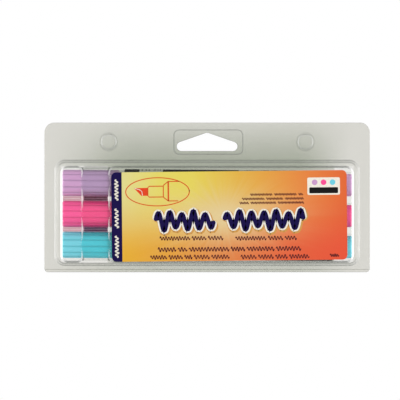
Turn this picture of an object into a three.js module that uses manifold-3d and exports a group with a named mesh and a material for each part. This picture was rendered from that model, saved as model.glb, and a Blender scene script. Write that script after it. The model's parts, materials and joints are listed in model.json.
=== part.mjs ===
// A hinged clamshell pack of clear film that holds three chisel-tip fabric markers.
//
// Millimetres. X runs along the markers, with their caps at -X. +Z is up as the pack hangs.
// The front of the pack faces -Y. Heights are first measured up from the bottom edge of the
// pack, and the last lines move the origin to the top of the hang hole, where a peg carries it.
import * as THREE from "three";
import { mergeVertices } from "three/addons/utils/BufferGeometryUtils.js";
import Module from "manifold-3d";

const wasm = await Module();
wasm.setup();

// ---- Film ----------------------------------------------------------------------------------
const FILM = 0.5; // thickness of the thermoformed sheet
const GAP = 0.3; // air between pieces that lie against each other
const FRONT_SEAT = -GAP / 2; // rear face of the front flange
const BACK_SEAT = GAP / 2; // front face of the back flange
const BACK_REAR = BACK_SEAT + FILM; // rear face of the back flange
const BEHIND = 4; // how far raised blocks start behind the flanges before they are trimmed
const FAR = 100; // past every edge of the pack

// ---- Clamshell outlines, as seen from the front --------------------------------------------
const FOLD = { height: 0.6, radius: 0.5, halfLength: 82.8 };
const FLANGE = { left: -84.75, right: 84.75, low: 1.5, high: 78, corner: 5.2, lowCorner: 1.6 };
const STEP = { left: -79.4, right: 79.4, low: 3.4, high: 58.6, corner: 5.5 };
const CAP_WINDOW = { left: -76.1, right: -64.1, low: 5.1, high: 55.4, corner: 3.2 };
const LABEL_PANEL = { left: -51.6, right: 76.1, low: 5.1, high: 55.4, corner: 3.6 };
const WAIST = { left: -66, right: -49, valley: 1.3, draft: THREE.MathUtils.degToRad(10) };
const STEP_FRONT = -5.15;
const PANEL_FRONT = -16.3;
const PIPE_RADIUS = 7.75; // of the half pipes over the caps
const STEP_EDGE = 1; // rounding along the front edges
const PANEL_EDGE = 1.3;
const PLATFORM = { left: -78.4, right: 78.4, low: 4.4, high: 57.6, corner: 4.6 };
const PLATFORM_FRONT = -3.35;
const CRADLE = { radius: 8.2, depthCentre: -8.7, halfLength: 75.6 };

// ---- Hang hole and snap buttons ------------------------------------------------------------
const HOLE = { halfWidth: 15.8, low: 63.2, endRadius: 2.4, peak: 72.6, peakRadius: 3.4 };
const HOLE_PAD = { left: -17.9, right: 17.9, low: 61.6, high: 74, corner: 2.5 };
const PAD_RISE = 0.5;
const PAD_EDGE = 0.3;
const BUTTON = { offset: 51.2, height: 68, radius: 4, rise: 2.8, edge: 0.8 };
const COLLAR = { radius: 4.9, rise: 0.7, edge: 0.3 };
const BUTTON_SLACK = 0.1; // extra room between a button and its socket

// ---- Markers -------------------------------------------------------------------------------
const PITCH = 16.05;
const MIDDLE_HEIGHT = 29.95;
const CAP_HEIGHT_OFFSET = 0.5; // the caps lie this much above the marker's middle
const AXIS_DEPTH = -8.2;
const TILT = THREE.MathUtils.degToRad(0.45); // the slimmer tail rests lower than the cap
const HALF_LENGTH = 75.2;
const CAP = { radius: 6.85, length: 29.6, bore: 5.65, wall: 1.4, edge: 0.6, grooves: 12, groove: 0.35 };
const LINER = { radius: 5.3, bore: 4.1, length: 21.4, wall: 0.8 };
const BARREL = { radius: 7.25, collar: 6.7, collarLength: 2.4, bore: 5.7, end: 66 };
const HOLDER = { nose: 3.75, bore: 3, spigot: 5.3, cone: 3.8, neck: 9.9, inside: 8.3 };
const NIB = { radius: 2.7, exposed: 9.6, inside: 18.3, slope: 3.6, taper: 6, flat: 1.5 };
const RESERVOIR = { radius: 5, start: -32, end: 58, socket: 5.3 };
const TAIL = { radius: 5.85, spigot: 5.4, bore: 4.4, start: 66.3, inside: 7, edge: 0.8 };

// ---- Sticker -------------------------------------------------------------------------------
const LABEL = { width: 122.1, height: 46.4, corner: 2.5, thickness: 0.2, x: 11.5, middle: 29.6 };
const LABEL_TURN = THREE.MathUtils.degToRad(0.4); // the sticker sits a little crooked

const MARKERS = [
  { name: "purple", row: 1, colour: 0xb58bc4, turn: -11.5 },
  { name: "pink", row: 0, colour: 0xee4c8f, turn: -13.3 },
  { name: "cyan", row: -1, colour: 0x48c4d4, turn: 7 },
];

// ---- Solids --------------------------------------------------------------------------------

// A closed three.js geometry as a manifold solid.
function solid(geometry) {
  const flat = geometry.index ? geometry.toNonIndexed() : geometry.clone();
  flat.deleteAttribute("normal");
  flat.deleteAttribute("uv");
  const merged = mergeVertices(flat, 1e-4);
  return new wasm.Manifold(
    new wasm.Mesh({
      numProp: 3,
      vertProperties: merged.attributes.position.array,
      triVerts: new Uint32Array(merged.index.array),
    }),
  );
}

function geometryOf(body) {
  const mesh = body.getMesh();
  const geometry = new THREE.BufferGeometry();
  geometry.setAttribute("position", new THREE.BufferAttribute(mesh.vertProperties, 3));
  geometry.setIndex(new THREE.BufferAttribute(mesh.triVerts, 1));
  geometry.computeVertexNormals();
  return geometry;
}

function piece(name, shape, material) {
  const geometry = shape.isBufferGeometry ? shape : geometryOf(shape);
  const mesh = new THREE.Mesh(geometry, material);
  mesh.name = name;
  return mesh;
}

function union(bodies) {
  return bodies.reduce((whole, body) => whole.add(body));
}

function box(x, y, z) {
  const geometry = new THREE.BoxGeometry(x[1] - x[0], y[1] - y[0], z[1] - z[0]);
  geometry.translate((x[0] + x[1]) / 2, (y[0] + y[1]) / 2, (z[0] + z[1]) / 2);
  return solid(geometry);
}

// A rounded rectangle, drawn in from its edges by inset.
function roundedOutline({ left, right, low, high, corner, lowCorner = corner }, inset = 0) {
  const x0 = left + inset;
  const x1 = right - inset;
  const z0 = low + inset;
  const z1 = high - inset;
  const top = Math.max(corner - inset, 0.3);
  const bottom = Math.max(lowCorner - inset, 0.3);
  const shape = new THREE.Shape();
  shape.absarc(x0 + bottom, z0 + bottom, bottom, Math.PI, 1.5 * Math.PI);
  shape.absarc(x1 - bottom, z0 + bottom, bottom, 1.5 * Math.PI, 2 * Math.PI);
  shape.absarc(x1 - top, z1 - top, top, 0, 0.5 * Math.PI);
  shape.absarc(x0 + top, z1 - top, top, 0.5 * Math.PI, Math.PI);
  shape.closePath();
  return shape;
}

function circleOutline(x, z, radius) {
  return new THREE.Shape().absarc(x, z, radius, 0, 2 * Math.PI);
}

// The outline's solid from the depth back to the depth front, with both rims rounded by edge.
function slab(shape, back, front, edge = 0, curveSegments = 4) {
  const geometry = new THREE.ExtrudeGeometry(shape, {
    depth: back - front - 2 * edge,
    bevelEnabled: edge > 0,
    bevelThickness: edge,
    bevelSize: edge,
    bevelOffset: -edge,
    bevelSegments: 2,
    curveSegments,
  });
  geometry.translate(0, 0, edge);
  geometry.rotateX(Math.PI / 2);
  geometry.translate(0, back, 0);
  return solid(geometry);
}

// A raised block that starts behind the flanges and ends at front, drawn in by inset.
function raised(outline, front, edge, inset = 0) {
  const drawnIn = roundedOutline(outline, inset);
  return slab(drawnIn, BEHIND, front + inset, Math.max(edge - inset, 0.3));
}

function rodAlongX(radius, halfLength, depth, height, segments = 32) {
  const geometry = new THREE.CylinderGeometry(radius, radius, 2 * halfLength, segments);
  geometry.rotateZ(Math.PI / 2);
  geometry.translate(0, depth, height);
  return solid(geometry);
}

// A turned solid about X: each profile point is [position along X, radius].
function turned(profile, segments = 28) {
  const points = profile.map(([along, radius]) => new THREE.Vector2(radius, along));
  const geometry = new THREE.LatheGeometry(points, segments);
  geometry.rotateZ(-Math.PI / 2);
  return solid(geometry);
}

function rowHeight(row) {
  return MIDDLE_HEIGHT + row * PITCH;
}

// ---- Clamshell -----------------------------------------------------------------------------

function hangHole() {
  const { halfWidth, low, endRadius, peak, peakRadius } = HOLE;
  const shape = new THREE.Shape();
  const endX = halfWidth - endRadius;
  const endZ = low + endRadius;
  // The straight slopes are tangent to the end rounds and to the rounded peak.
  const peakZ = peak - peakRadius;
  const slope = Math.asin((peakRadius - endRadius) / Math.hypot(endX, peakZ - endZ));
  const lean = Math.atan2(peakZ - endZ, endX) + slope;
  shape.absarc(-endX, endZ, endRadius, 1.5 * Math.PI, 0.5 * Math.PI + lean, true);
  shape.absarc(0, peakZ, peakRadius, 0.5 * Math.PI + lean, 0.5 * Math.PI - lean, true);
  shape.absarc(endX, endZ, endRadius, 0.5 * Math.PI - lean, -0.5 * Math.PI, true);
  shape.closePath();
  return slab(shape, BEHIND, -BEHIND, 0, 8);
}

// Two round buttons that bulge forward, drawn in by inset.
function buttons(seat, inset = 0) {
  const front = seat - FILM;
  return [-1, 1].flatMap((side) => {
    const x = side * BUTTON.offset;
    const dome = circleOutline(x, BUTTON.height, BUTTON.radius - inset);
    const collar = circleOutline(x, BUTTON.height, COLLAR.radius - inset);
    return [
      slab(dome, BEHIND, front - BUTTON.rise + inset, BUTTON.edge, 10),
      slab(collar, BEHIND, front - COLLAR.rise + inset, COLLAR.edge, 10),
    ];
  });
}

// The surface over the three caps: a row of half pipes with hollow curves between them.
function waist(inset = 0) {
  const apart = PIPE_RADIUS + WAIST.valley; // from a pipe's middle to a hollow curve's
  const lean = Math.asin(PITCH / 2 / apart);
  const shape = new THREE.Shape();
  for (const row of [-1, 0, 1]) {
    const height = rowHeight(row) + CAP_HEIGHT_OFFSET;
    const start = row === -1 ? Math.PI - WAIST.draft : Math.PI / 2 + lean;
    const end = row === 1 ? WAIST.draft : Math.PI / 2 - lean;
    shape.absarc(height, -AXIS_DEPTH, PIPE_RADIUS - inset, start, end, true);
    if (row < 1) {
      const front = apart * Math.cos(lean) - AXIS_DEPTH;
      const foot = 1.5 * Math.PI;
      shape.absarc(height + PITCH / 2, front, WAIST.valley + inset, foot - lean, foot + lean);
    }
  }
  // The two outer walls run straight back, spreading by the draft angle.
  const lift = (PIPE_RADIUS - inset) * Math.sin(WAIST.draft) - AXIS_DEPTH + BEHIND;
  const spread = (PIPE_RADIUS - inset) * Math.cos(WAIST.draft) + lift * Math.tan(WAIST.draft);
  shape.lineTo(rowHeight(1) + CAP_HEIGHT_OFFSET + spread, -BEHIND);
  shape.lineTo(rowHeight(-1) + CAP_HEIGHT_OFFSET - spread, -BEHIND);
  shape.closePath();
  const depth = WAIST.right - WAIST.left - 2 * inset;
  const geometry = new THREE.ExtrudeGeometry(shape, { depth, bevelEnabled: false, curveSegments: 9 });
  const up = new THREE.Vector3(0, 0, 1);
  const forward = new THREE.Vector3(0, -1, 0);
  const along = new THREE.Vector3(1, 0, 0);
  geometry.applyMatrix4(new THREE.Matrix4().makeBasis(up, forward, along));
  geometry.translate(WAIST.left + inset, 0, 0);
  return solid(geometry);
}

function blister(inset = 0) {
  return union([
    raised(STEP, STEP_FRONT, STEP_EDGE, inset),
    raised(CAP_WINDOW, PANEL_FRONT, PANEL_EDGE, inset),
    raised(LABEL_PANEL, PANEL_FRONT, PANEL_EDGE, inset),
    waist(inset),
    raised(HOLE_PAD, FRONT_SEAT - FILM - PAD_RISE, PAD_EDGE, inset),
    ...buttons(FRONT_SEAT, inset),
  ]);
}

function frontShell() {
  const flange = slab(roundedOutline(FLANGE), FRONT_SEAT, FRONT_SEAT - FILM);
  const behindSeat = box([-FAR, FAR], [FRONT_SEAT, 2 * BEHIND], [-FAR, FAR]);
  return flange.add(blister().subtract(behindSeat)).subtract(blister(FILM)).subtract(hangHole());
}

// The three channels that the markers lie in, grown by extra.
function cradles(extra = 0) {
  return union(
    MARKERS.map(({ row }) =>
      rodAlongX(CRADLE.radius + extra, CRADLE.halfLength + extra, CRADLE.depthCentre, rowHeight(row)),
    ),
  );
}

function backShell() {
  const nest = FILM + GAP; // the back's raised shapes nest inside the front's
  const padEdge = PAD_EDGE - 0.1;
  const flange = slab(roundedOutline(FLANGE), BACK_REAR, BACK_SEAT);
  const padFront = FRONT_SEAT - PAD_RISE + GAP;
  const raisedShapes = union([
    raised(PLATFORM, PLATFORM_FRONT, STEP_EDGE).subtract(cradles()),
    slab(roundedOutline(HOLE_PAD, nest), BEHIND, padFront, padEdge),
    ...buttons(FRONT_SEAT, nest + BUTTON_SLACK),
  ]);
  const hollows = union([
    raised(PLATFORM, PLATFORM_FRONT, STEP_EDGE, FILM).subtract(cradles(FILM)),
    slab(roundedOutline(HOLE_PAD, nest + FILM), BEHIND, padFront + FILM, padEdge),
    ...buttons(FRONT_SEAT, nest + BUTTON_SLACK + FILM),
  ]);
  const behindFlange = box([-FAR, FAR], [BACK_REAR, 2 * BEHIND], [-FAR, FAR]);
  return flange.add(raisedShapes.subtract(behindFlange)).subtract(hollows).subtract(hangHole());
}

function livingHinge() {
  return rodAlongX(FOLD.radius, FOLD.halfLength, 0, FOLD.height, 16);
}

function stickerGeometry() {
  const half = { x: LABEL.width / 2, z: LABEL.height / 2 };
  const outline = { left: -half.x, right: half.x, low: -half.z, high: half.z, corner: LABEL.corner };
  return slab(roundedOutline(outline), 0, -LABEL.thickness);
}

// ---- Marker pieces, along X from the cap at -X to the tail at +X ----------------------------

const CAP_MOUTH = -HALF_LENGTH + CAP.length;
const BARREL_START = CAP_MOUTH + GAP;
const NECK_END = BARREL_START - HOLDER.cone;
const NOSE_FRONT = NECK_END - HOLDER.neck;

// The cap's cross-section: a round with evenly spaced shallow grooves.
function groovedOutline() {
  const stations = 5; // points from one groove to the next
  const shape = new THREE.Shape();
  for (let i = 0; i < CAP.grooves * stations; i++) {
    const around = (2 * Math.PI * i) / (CAP.grooves * stations);
    const bottom = i % stations === 0;
    const radius = CAP.radius - (bottom ? CAP.groove : 0);
    const point = [radius * Math.cos(around), radius * Math.sin(around)];
    if (i === 0) shape.moveTo(...point);
    else shape.lineTo(...point);
  }
  shape.closePath();
  return shape;
}

function cap(turn) {
  const { edge } = CAP;
  const geometry = new THREE.ExtrudeGeometry(groovedOutline(), {
    depth: CAP.length - 2 * edge,
    bevelThickness: edge,
    bevelSize: edge,
    bevelOffset: -edge,
    bevelSegments: 1,
  });
  geometry.translate(0, 0, edge);
  geometry.rotateY(Math.PI / 2); // the outline's first groove now faces down
  geometry.rotateX(Math.PI / 2 - THREE.MathUtils.degToRad(turn));
  geometry.translate(-HALF_LENGTH, 0, 0);
  const bottom = -HALF_LENGTH + CAP.wall;
  const bore = turned([
    [bottom, 0],
    [bottom, CAP.bore],
    [CAP_MOUTH + 1, CAP.bore],
    [CAP_MOUTH + 1, 0],
  ]);
  return solid(geometry).subtract(bore);
}

function capLiner() {
  const closed = -HALF_LENGTH + CAP.wall + GAP;
  const open = closed + LINER.length;
  return turned([
    [closed, 0],
    [closed, LINER.radius],
    [open, LINER.radius],
    [open, LINER.bore],
    [closed + LINER.wall, LINER.bore],
    [closed + LINER.wall, 0],
  ], 24);
}

// A tube with a slimmer collar where the cap meets it.
function barrel() {
  const chamfer = 0.4;
  const end = BARREL.end;
  const shoulder = BARREL_START + BARREL.collarLength;
  return turned([
    [BARREL_START, BARREL.bore],
    [BARREL_START, BARREL.collar],
    [shoulder, BARREL.collar],
    [shoulder + chamfer, BARREL.radius],
    [end - chamfer, BARREL.radius],
    [end, BARREL.radius - chamfer],
    [end, BARREL.bore],
    [BARREL_START, BARREL.bore],
  ], 36);
}

function nibHolder() {
  const end = BARREL_START + HOLDER.inside;
  return turned([
    [NOSE_FRONT, HOLDER.bore],
    [NOSE_FRONT, HOLDER.nose],
    [NECK_END, HOLDER.nose],
    [BARREL_START, HOLDER.spigot],
    [end, HOLDER.spigot],
    [end, HOLDER.bore],
    [NOSE_FRONT, HOLDER.bore],
  ], 24);
}

// A felt rod whose free end is ground to a slanted wedge.
function nib() {
  const tip = NOSE_FRONT - NIB.exposed;
  const end = BARREL_START + NIB.inside;
  const rod = turned([
    [tip, 0],
    [tip, NIB.radius],
    [end, NIB.radius],
    [end, 0],
  ], 24);
  const wide = 4 * NIB.radius; // the grinding blocks are larger than the rod
  const slant = new THREE.BoxGeometry(2 * wide, 2 * wide, wide);
  slant.translate(0, 0, -wide / 2);
  slant.rotateY(-Math.atan2(2 * NIB.radius, NIB.slope));
  slant.translate(tip, 0, NIB.radius);
  const cheek = (side) => {
    const block = new THREE.BoxGeometry(2 * NIB.taper, wide, 2 * wide);
    block.translate(-NIB.taper, (side * wide) / 2, 0);
    block.rotateZ(side * Math.atan2(NIB.radius - NIB.flat, NIB.taper));
    block.translate(tip + NIB.taper, side * NIB.radius, 0);
    return solid(block);
  };
  return rod.subtract(solid(slant)).subtract(cheek(1)).subtract(cheek(-1));
}

function reservoir() {
  const { start, end, radius, socket } = RESERVOIR;
  return turned([
    [start, HOLDER.bore],
    [start, radius],
    [end, radius],
    [end, 0],
    [start + socket, 0],
    [start + socket, HOLDER.bore],
    [start, HOLDER.bore],
  ], 24);
}

function tailPlug() {
  const inner = TAIL.start - TAIL.inside;
  return turned([
    [inner, TAIL.bore],
    [inner, TAIL.spigot],
    [TAIL.start, TAIL.spigot],
    [TAIL.start, TAIL.radius],
    [HALF_LENGTH - TAIL.edge, TAIL.radius],
    [HALF_LENGTH, TAIL.radius - TAIL.edge],
    [HALF_LENGTH, 0],
    [TAIL.start, 0],
    [TAIL.start, TAIL.bore],
    [inner, TAIL.bore],
  ]);
}

// ---- Materials and assembly ----------------------------------------------------------------

function plastic(color, roughness = 0.35) {
  return new THREE.MeshStandardMaterial({ color, roughness, metalness: 0 });
}

function clearFilm() {
  const material = plastic(0xdde4de, 0.1);
  material.transparent = true;
  material.opacity = 0.35;
  return material;
}

function marker({ name, row, colour, turn }) {
  const group = new THREE.Group();
  group.position.set(0, AXIS_DEPTH, rowHeight(row));
  group.rotation.y = TILT;
  group.add(
    piece(`${name}_cap`, cap(turn), plastic(colour)),
    piece(`${name}_cap_liner`, capLiner(), plastic(0xf4f4f0, 0.5)),
    piece(`${name}_barrel`, barrel(), plastic(0xf2f2ee, 0.3)),
    piece(`${name}_nib_holder`, nibHolder(), plastic(0xf2f2ee, 0.4)),
    piece(`${name}_nib`, nib(), plastic(colour, 0.95)),
    piece(`${name}_ink_reservoir`, reservoir(), plastic(colour, 0.9)),
    piece(`${name}_tail_plug`, tailPlug(), plastic(colour)),
  );
  return group;
}

const sticker = piece("front_label", stickerGeometry(), plastic(0xe9b94e, 0.3));
sticker.position.set(LABEL.x, PANEL_FRONT - GAP, LABEL.middle);
sticker.rotation.y = -LABEL_TURN;

const pack = new THREE.Group();
pack.position.z = -HOLE.peak;
pack.add(
  piece("front_shell", frontShell(), clearFilm()),
  piece("back_shell", backShell(), clearFilm()),
  piece("living_hinge", livingHinge(), clearFilm()),
  sticker,
  ...MARKERS.map(marker),
);

const group = new THREE.Group();
group.add(pack);
export default group;
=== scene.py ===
"""A clear hinged clamshell pack with three chisel-tip fabric markers, dressed round its CAD model.

Shapes are drawn in millimetres, with heights measured up from the pack's bottom edge as in the CAD source,
and are moved into the frame's metres when each mesh is finished. The front of the pack faces -Y.
"""
import json
import math

import bmesh
import bpy
from mathutils import Matrix, Vector


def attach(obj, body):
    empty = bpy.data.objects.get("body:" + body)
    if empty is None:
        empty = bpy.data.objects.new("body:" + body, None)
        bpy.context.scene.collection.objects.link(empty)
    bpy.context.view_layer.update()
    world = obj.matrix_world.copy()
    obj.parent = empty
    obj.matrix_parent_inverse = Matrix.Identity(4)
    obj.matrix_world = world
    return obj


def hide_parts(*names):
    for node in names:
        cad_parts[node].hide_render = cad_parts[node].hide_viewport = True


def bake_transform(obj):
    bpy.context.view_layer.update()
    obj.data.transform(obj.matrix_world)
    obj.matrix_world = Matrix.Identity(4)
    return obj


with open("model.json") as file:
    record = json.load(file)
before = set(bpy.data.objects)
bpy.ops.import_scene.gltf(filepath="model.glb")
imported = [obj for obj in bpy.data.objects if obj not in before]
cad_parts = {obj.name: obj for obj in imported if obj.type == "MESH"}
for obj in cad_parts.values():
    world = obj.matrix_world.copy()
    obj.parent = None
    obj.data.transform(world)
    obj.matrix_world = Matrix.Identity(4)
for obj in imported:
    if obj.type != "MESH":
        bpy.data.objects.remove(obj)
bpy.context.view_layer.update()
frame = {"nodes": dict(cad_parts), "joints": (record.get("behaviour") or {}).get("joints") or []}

# ---- Driving sizes, in millimetres ----
MM = 0.001
FILM = 0.5  # thickness of the thermoformed sheet
GAP = 0.3
FRONT_SEAT = -GAP / 2
BACK_SEAT = GAP / 2
BACK_REAR = BACK_SEAT + FILM
BEHIND = 4  # raised shapes start this far back and are trimmed at the flange

FLANGE = dict(left=-84.75, right=84.75, low=1.5, high=78, corner=5.2, low_corner=0.4)
RIM = 0.22  # rounding of a cut edge
STEP = dict(left=-79.4, right=79.4, low=3.4, high=58.6, corner=5.5)
CAP_WINDOW = dict(left=-76.1, right=-64.1, low=5.1, high=55.4, corner=3.6)
LABEL_PANEL = dict(left=-51.6, right=76.1, low=5.1, high=55.4, corner=4)
WAIST_LEFT = -66
WAIST_RIGHT = -49
PIPE_RADIUS = 7.75
VALLEY_RADIUS = 1.3  # of the hollow curve between two pipes
WAIST_DRAFT = 10  # degrees, of the two outer walls
PLATFORM = dict(left=-78.4, right=78.4, low=4.4, high=57.6, corner=4.6)
HOLE_PAD = dict(left=-17.4, right=18.7, low=61.4, high=74.3, corner=2.9)
STEP_FRONT = -5.15
PANEL_FRONT = -16.3
PLATFORM_FRONT = -3.35
PAD_RISE = 0.75
DRAFT = 0.05  # how far a wall leans in for each millimetre of its height
CRADLE_RADIUS = 8.2
CRADLE_DEPTH = -8.7
CRADLE_HALF_LENGTH = 75.6
FOLD_HEIGHT = 0.6
FOLD_RADIUS = 0.5
FOLD_FILM = 0.2
FOLD_CORNER = 2.2

HOLE_HALF_WIDTH = 15.8
HOLE_LOW = 63.2
HOLE_END_RADIUS = 2.4
HOLE_PEAK = 72.6
HOLE_PEAK_RADIUS = 3.4
BUTTON_OFFSET = 51.2
BUTTON_HEIGHT = 68
BUTTON_RADIUS = 4
BUTTON_RISE = 2.8
COLLAR_RADIUS = 4.9
COLLAR_RISE = 0.7

PITCH = 16.05
MIDDLE_HEIGHT = 29.95
CAP_HEIGHT_OFFSET = 0.5
AXIS_DEPTH = -8.2
TILT = math.radians(0.45)  # the markers' tails lie lower than their caps
HALF_LENGTH = 75.2
CAP_RADIUS = 6.85
CAP_LENGTH = 29.6
CAP_BORE = 5.65
CAP_WALL = 1.4
CAP_GROOVES = 12
GROOVE_DEPTH = 0.35
BARREL_START = -HALF_LENGTH + CAP_LENGTH + GAP
BARREL_END = 66
BARREL_RADIUS = 7.4
COLLAR_RADIUS_OF_BARREL = 6.7
BARREL_COLLAR = 2.4
BARREL_BORE = 5.7
TAIL_START = BARREL_END + GAP
TAIL_RADIUS = 5.85
TAIL_SPIGOT = 5.4
TAIL_INSIDE = 7

LABEL_WIDTH = 122.1
LABEL_HEIGHT = 46.4
LABEL_CORNER = 2.5
LABEL_X = 11.5
LABEL_MIDDLE = 29.42
LABEL_TURN = math.radians(0.58)
LABEL_THICKNESS = 0.12
LABEL_BACK = PANEL_FRONT - 0.02
INK_STEP = 0.02  # each printed layer lies this much in front of the last

# Each marker's plastic, the painted shade of its cap where the waist lies over it, and how far its cap's
# grooves are turned, in degrees.
MARKERS = {
    "purple": dict(row=1, colour=(0.62, 0.345, 0.62), painted_shade=(0.465, 0.305, 0.533), turn=-11.5),
    "pink": dict(row=0, colour=(1.0, 0.085, 0.32), painted_shade=(1.0, 0.069, 0.272), turn=-13.3),
    "cyan": dict(row=-1, colour=(0.17, 0.66, 0.80), painted_shade=(0.06, 0.61, 0.735), turn=7),
}

TO_FRAME = Matrix.Translation((0, 0, -HOLE_PEAK * MM)) @ Matrix.Scale(MM, 4)


def to_linear(red, green, blue):
    """A display colour, 0 to 255, as the linear colour that shaders use."""
    return tuple(
        (c / 12.92 if c <= 0.04045 else ((c + 0.055) / 1.055) ** 2.4)
        for c in (red / 255, green / 255, blue / 255)
    )


def scaled(colour, gain):
    return tuple(gain * c for c in colour)


# ---- Shader helpers ----
class Shader:
    """One node material, with short names for the nodes that it's made of."""

    def __init__(self, name):
        self.material = bpy.data.materials.new(name)
        self.material.use_nodes = True
        self.tree = self.material.node_tree
        self.tree.nodes.clear()
        self.output = self.add("ShaderNodeOutputMaterial")

    def add(self, kind, **settings):
        node = self.tree.nodes.new(kind)
        for key, value in settings.items():
            setattr(node, key, value)
        return node

    def feed(self, socket, value):
        if isinstance(value, bpy.types.NodeSocket):
            self.tree.links.new(value, socket)
        elif isinstance(value, tuple) and len(value) == 3 and socket.type == "RGBA":
            socket.default_value = (*value, 1)
        else:
            socket.default_value = value

    def math(self, operation, first, second=0.0, clamp=False):
        node = self.add("ShaderNodeMath", operation=operation, use_clamp=clamp)
        self.feed(node.inputs[0], first)
        self.feed(node.inputs[1], second)
        return node.outputs[0]

    def times(self, first, second):
        return self.math("MULTIPLY", first, second)

    def plus(self, first, second, clamp=False):
        return self.math("ADD", first, second, clamp)

    def minus(self, first, second):
        return self.math("SUBTRACT", first, second)

    def mix(self, share, first, second):
        node = self.add("ShaderNodeMix", data_type="RGBA")
        self.feed(node.inputs["Factor"], share)
        self.feed(node.inputs[6], first)
        self.feed(node.inputs[7], second)
        return node.outputs[2]

    def blend(self, share, first, second):
        """A mix of two shader nodes."""
        node = self.add("ShaderNodeMixShader")
        self.feed(node.inputs[0], share)
        self.feed(node.inputs[1], first.outputs[0])
        self.feed(node.inputs[2], second.outputs[0])
        return node

    def span(self, value, low, high, smooth=True):
        """0 below low and 1 above high, or the other way round where low is the larger."""
        kind = "SMOOTHSTEP" if smooth else "LINEAR"
        node = self.add("ShaderNodeMapRange", interpolation_type=kind)
        self.feed(node.inputs["Value"], value)
        self.feed(node.inputs["From Min"], low)
        self.feed(node.inputs["From Max"], high)
        return node.outputs["Result"]

    def ramp(self, value, stops):
        node = self.add("ShaderNodeValToRGB")
        bar = node.color_ramp
        while len(bar.elements) < len(stops):
            bar.elements.new(1)
        for element, (position, colour) in zip(bar.elements, stops):
            element.position = position
            element.color = (*colour, 1)
        self.feed(node.inputs[0], value)
        return node.outputs[0]

    def point(self):
        return self.add("ShaderNodeTexCoord").outputs["Object"]

    def normal(self):
        return self.add("ShaderNodeTexCoord").outputs["Normal"]

    def axes(self, vector):
        node = self.add("ShaderNodeSeparateXYZ")
        self.feed(node.inputs[0], vector)
        return node.outputs

    def noise(self, scale, detail=3.0, stretch=None):
        vector = self.point()
        if stretch:
            node = self.add("ShaderNodeVectorMath", operation="MULTIPLY")
            self.feed(node.inputs[0], vector)
            self.feed(node.inputs[1], stretch)
            vector = node.outputs[0]
        node = self.add("ShaderNodeTexNoise")
        self.feed(node.inputs["Vector"], vector)
        node.inputs["Scale"].default_value = scale
        node.inputs["Detail"].default_value = detail
        return node.outputs["Fac"]

    def bump(self, height, strength, distance):
        node = self.add("ShaderNodeBump")
        node.inputs["Strength"].default_value = strength
        node.inputs["Distance"].default_value = distance
        self.feed(node.inputs["Height"], height)
        return node.outputs[0]

    def surface(self, shader):
        self.feed(self.output.inputs["Surface"], shader)
        return self.material

    def principled(self, colour, roughness, normal=None, specular=0.5, sheen=0.0):
        node = self.add("ShaderNodeBsdfPrincipled")
        self.feed(node.inputs["Base Color"], colour)
        self.feed(node.inputs["Roughness"], roughness)
        if normal:
            self.feed(node.inputs["Normal"], normal)
        node.inputs["Specular IOR Level"].default_value = specular
        node.inputs["Sheen Weight"].default_value = sheen
        return self.surface(node.outputs[0])


# ---- Materials ----
# The share of light that one face of the film passes.
FILM_LIGHT = (0.912, 0.909, 0.893)  # near the pack's sides
FILM_SHADOWED = (0.785, 0.797, 0.758)  # just above the blister: painted shadow of the pack on the paper beneath it, seen through the sheet
FILM_BRIGHTENED = (0.955, 0.953, 0.945)  # over the caps and the tails: clearer there, as painted light that lifts them
FILM_BEND = (0.56, 0.57, 0.56)  # at bends that run along the pack: partly the longer path through the steep sheet, partly painted shade where they face away from the side lamps
FILM_GLINT = (0.97, 0.97, 0.97)  # at bends that run up it
WAIST_TOP_SHADE = (0.71, 0.715, 0.70)  # above the top half pipe: painted shade on its top wall
# The same in the tray between the caps: painted shadow and painted reflection of the two caps beside it,
# behind the waist's two hollow curves, and a paler painted reflection of them behind the cap window.
UPPER_GAP_SHADE = (0.27, 0.05, 0.16)
LOWER_GAP_SHADE = (0.22, 0.09, 0.22)
WINDOW_GAP_REFLECTION = (0.81, 0.61, 0.66)

# Where the film's look changes, in millimetres: each fades in from the first value to the second.
SHADE_LEFT = (-86, -34)
SHADE_RIGHT = (78, 44)
SHADE_ABOVE = (81, 57.5)
SHADE_WEAKER = (55, 50)
OUTER_WALLS = (77, 78)  # from the middle, along X
RAISED = (1.25, 1.7)  # in front of the flange
IN_LID = (4, 5)  # in front of the tray
PIPE_TOP = (53.2, 53.8)
UPPER_ROW = (29, 31)
INNER_BUTTON = (3.3, 3.6)  # from a button's middle
TINT_EDGE = 0.4  # half the width over which the tints end


def pack_coordinates(s):
    """Position in millimetres: along X, towards the front, and up from the pack's bottom edge."""
    x, y, z = s.axes(s.point())
    forward = s.times(y, -1 / MM)
    height = s.plus(s.times(z, 1 / MM), HOLE_PEAK)
    return s.times(x, 1 / MM), forward, height


def between(s, value, start, end, edge=0.12):
    """1 between start and end, with narrow soft edges."""
    rise = s.span(value, start - edge, start + edge, False)
    fall = s.span(value, end + edge, end - edge, False)
    return s.times(rise, fall)


def painted_shadow_share(s):
    """How much painted shadow the sheet carries, for the pack's shadow on the paper beneath: 0 at its sides
    to 1 just above the blister.
    """
    x, _, height = pack_coordinates(s)
    across = s.times(s.span(x, *SHADE_LEFT), s.span(x, *SHADE_RIGHT))
    upward = s.span(height, *SHADE_ABOVE, False)
    lower = s.minus(1, s.times(s.span(height, *SHADE_WEAKER), 0.6))
    shade = s.times(across, s.times(upward, lower))
    cloud = s.times(s.minus(s.noise(26, 2), 0.5), 0.18)
    return s.plus(shade, cloud, clamp=True)


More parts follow.
